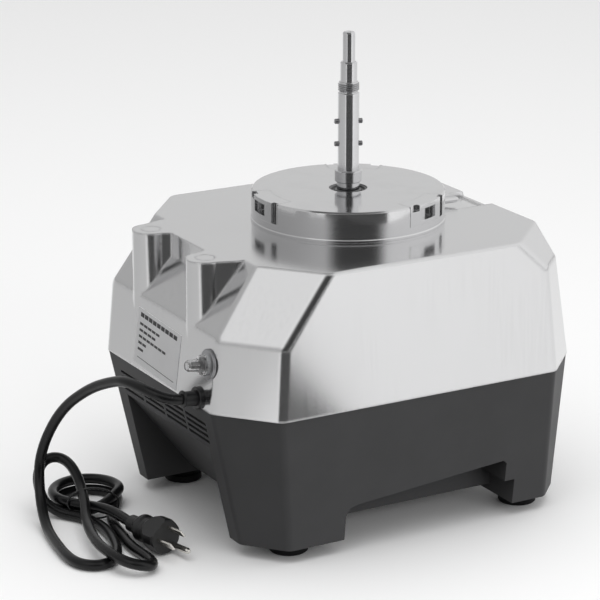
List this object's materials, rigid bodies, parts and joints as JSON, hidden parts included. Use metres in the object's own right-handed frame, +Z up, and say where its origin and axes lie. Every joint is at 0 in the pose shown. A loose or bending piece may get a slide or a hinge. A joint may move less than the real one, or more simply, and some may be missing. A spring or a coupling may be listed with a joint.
{
  "type": "vegetable cutter motor base",
  "caption": "Bench-top motor base with a cast upper housing, moulded legs, round bayonet seat, tall stepped drive shaft, push-button panel, reset breaker and a tied mains lead.",
  "frame": {"origin": "on the bench, under the middle of the machine's own box without its lead", "axes": "+Z up along the drive shaft, controls face -Y, the lead leaves towards +Y"},
  "size_m": [0.2606, 0.4081, 0.3708],
  "materials": {
    "cast_aluminium": "polished casting",
    "polished_steel": "polished",
    "lamination_steel": "bare",
    "zinc_screw": "zinc plated",
    "nickel_brass": "nickel plated",
    "copper_wire": "enamelled",
    "black_moulding": "fine grain",
    "black_plastic": "satin",
    "grey_plastic": "satin",
    "green_plastic": "satin",
    "red_plastic": "satin",
    "clear_plastic": "clear",
    "clear_rubber": "translucent",
    "seal_rubber": "satin",
    "foot_rubber": "matte",
    "panel_film": "satin film",
    "label_film": "printed film",
    "board_green": "solder mask",
    "cord_jacket": "satin jacket"
  },
  "bodies": {
    "base": {"base_shell": "black_moulding", "bayonet_lug_1": "polished_steel", "bayonet_lug_2": "polished_steel", "bayonet_lug_3": "polished_steel", "board_posts": "grey_plastic", "boss_plugs": "grey_plastic", "bottom_cover": "black_moulding", "bowl_seat": "polished_steel", "breaker_body": "black_plastic", "breaker_boot": "clear_rubber", "breaker_collar": "clear_plastic", "breaker_ring": "black_plastic", "capacitor_clip": "lamination_steel", "control_board": "board_green", "control_panel": "panel_film", "cord_gland": "black_plastic", "cord_hank": "cord_jacket", "cord_loops": "cord_jacket", "cord_tube": "cord_jacket", "cover_screws": "zinc_screw", "foot_front_left": "foot_rubber", "foot_front_right": "foot_rubber", "foot_rear_left": "foot_rubber", "foot_rear_right": "foot_rubber", "foot_screws": "zinc_screw", "gland_nut": "grey_plastic", "interlock_switch": "black_plastic", "lower_bearing": "polished_steel", "motor_bolts": "zinc_screw", "motor_lower_bell": "cast_aluminium", "motor_upper_bell": "cast_aluminium", "panel_screws": "zinc_screw", "plug_blades": "nickel_brass", "plug_body": "cord_jacket", "plug_ground_pin": "nickel_brass", "pulse_bezel": "black_plastic", "pulse_contacts": "grey_plastic", "rating_label": "label_film", "run_capacitor": "grey_plastic", "seat_screws": "zinc_screw", "shaft_seal": "seal_rubber", "start_bezel": "black_plastic", "start_contacts": "grey_plastic", "stator_core": "lamination_steel", "stator_windings": "copper_wire", "stop_bezel": "black_plastic", "stop_contacts": "grey_plastic", "upper_bearing": "polished_steel", "upper_housing": "cast_aluminium"},
    "shaft": {"output_shaft": "polished_steel", "drive_pins": "polished_steel", "shaft_collar": "polished_steel", "rotor_core": "lamination_steel", "cooling_fan": "grey_plastic"},
    "start_key": {"start_button": "green_plastic"},
    "pulse_key": {"pulse_button": "black_plastic"},
    "stop_key": {"stop_button": "red_plastic"},
    "reset_key": {"reset_button": "black_plastic"},
    "plunger": {"interlock_plunger": "polished_steel"}
  },
  "joints": [
    {"name": "shaft_spin", "type": "hinge", "parent": "base", "child": "shaft", "pos_m": [0, -0.019, 0.2], "axis": [0, 0, 1], "continuous": true},
    {"name": "start_press", "type": "slide", "parent": "base", "child": "start_key", "axis": [0, 0.9753, -0.221], "range_m": [0, 0.003], "stiffness_N_per_m": 500, "springref_m": -0.001},
    {"name": "pulse_press", "type": "slide", "parent": "base", "child": "pulse_key", "axis": [0, 0.9753, -0.221], "range_m": [0, 0.003], "stiffness_N_per_m": 500, "springref_m": -0.001},
    {"name": "stop_press", "type": "slide", "parent": "base", "child": "stop_key", "axis": [0, 0.9753, -0.221], "range_m": [0, 0.003], "stiffness_N_per_m": 500, "springref_m": -0.001},
    {"name": "reset_press", "type": "slide", "parent": "base", "child": "reset_key", "axis": [0, -0.995, -0.0995], "range_m": [0, 0.0018], "stiffness_N_per_m": 500, "springref_m": -0.001},
    {"name": "interlock_slide", "type": "slide", "parent": "base", "child": "plunger", "axis": [0.0872, 0.9962, 0], "range_m": [0, 0.005], "stiffness_N_per_m": 300, "springref_m": -0.001}
  ]
}
